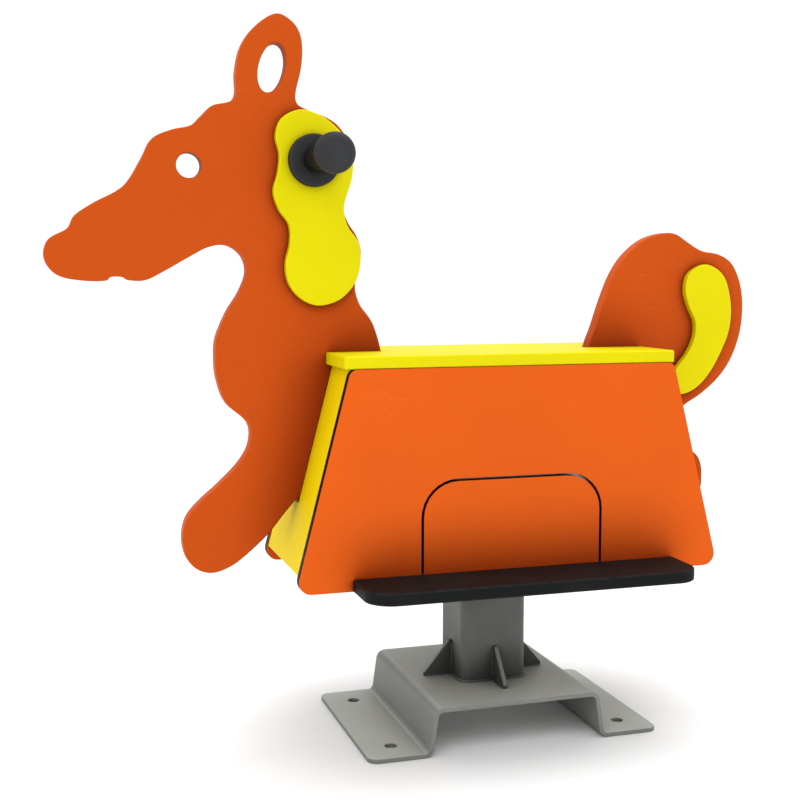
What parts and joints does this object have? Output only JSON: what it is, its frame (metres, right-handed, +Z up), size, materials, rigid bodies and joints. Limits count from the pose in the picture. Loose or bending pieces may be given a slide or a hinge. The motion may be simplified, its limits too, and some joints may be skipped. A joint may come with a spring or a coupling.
{
  "type": "spring rocker",
  "caption": "Playground rocker for one child: animal-shaped body with seat, handgrips and footboards, rocking on a rubber torsion unit, post and bent ground plate.",
  "frame": {"origin": "on the ground, at the centre of the anchor bolt pattern under the post", "axes": "+X from head to tail, +Y across the body from the near side to the far side, +Z up"},
  "size_m": [0.8402, 0.337, 0.8143],
  "materials": {
    "plate_steel": "matt grey coating",
    "post_steel": "matt dark grey coating",
    "bracket_steel": "zinc plated",
    "bolt_steel": "zinc plated",
    "bright_bar": "bright drawn",
    "cord_rubber": "matt",
    "side_board": "matt orange faces on a black core",
    "animal_board": "matt orange, coloured through",
    "yellow_board": "matt yellow, coloured through",
    "grip_rubber": "matt charcoal",
    "foot_board": "matt black",
    "spacer_plastic": "matt"
  },
  "bodies": {
    "base": {"ground_plate": "plate_steel", "post": "post_steel", "gusset_head_side": "post_steel", "gusset_tail_side": "post_steel", "gusset_near": "post_steel", "gusset_far": "post_steel", "cradle_plate": "post_steel", "housing_straps": "post_steel", "strap_bolts": "bolt_steel", "torsion_housing": "post_steel", "rubber_cord_upper_head": "cord_rubber", "rubber_cord_upper_tail": "cord_rubber", "rubber_cord_lower_head": "cord_rubber", "rubber_cord_lower_tail": "cord_rubber"},
    "rocker": {"torsion_shaft": "bright_bar", "near_shaft_plate": "bracket_steel", "far_shaft_plate": "bracket_steel", "shaft_bolts": "bolt_steel", "plate_screws": "bolt_steel", "near_side_panel": "side_board", "far_side_panel": "side_board", "near_arch_cover": "side_board", "far_arch_cover": "side_board", "front_end_panel": "yellow_board", "rear_end_panel": "yellow_board", "corner_angles": "bracket_steel", "angle_screws": "bolt_steel", "seat_board": "yellow_board", "near_seat_rail": "bracket_steel", "far_seat_rail": "bracket_steel", "seat_screws": "bolt_steel", "front_upper_tie": "bright_bar", "front_lower_tie": "bright_bar", "rear_upper_tie": "bright_bar", "rear_lower_tie": "bright_bar", "tie_spacers": "spacer_plastic", "head_panel": "animal_board", "tail_panel": "animal_board", "near_mane_plate": "yellow_board", "far_mane_plate": "yellow_board", "near_tail_plate": "yellow_board", "far_tail_plate": "yellow_board", "plate_dowels": "bolt_steel", "handlebar_rod": "bright_bar", "near_grip_flange": "grip_rubber", "far_grip_flange": "grip_rubber", "near_grip": "grip_rubber", "far_grip": "grip_rubber", "near_grip_insert": "bright_bar", "far_grip_insert": "bright_bar", "near_footboard": "foot_board", "far_footboard": "foot_board", "footboard_brackets": "bracket_steel", "footboard_screws": "bolt_steel"}
  },
  "joints": [
    {"name": "rocking", "type": "hinge", "parent": "base", "child": "rocker", "pos_m": [0, 0, 0.255], "axis": [0, 1, 0], "range_deg": [-15, 15], "stiffness_Nm_per_rad": 600, "deforming": ["rubber_cord_upper_head", "rubber_cord_upper_tail", "rubber_cord_lower_head", "rubber_cord_lower_tail"]}
  ]
}
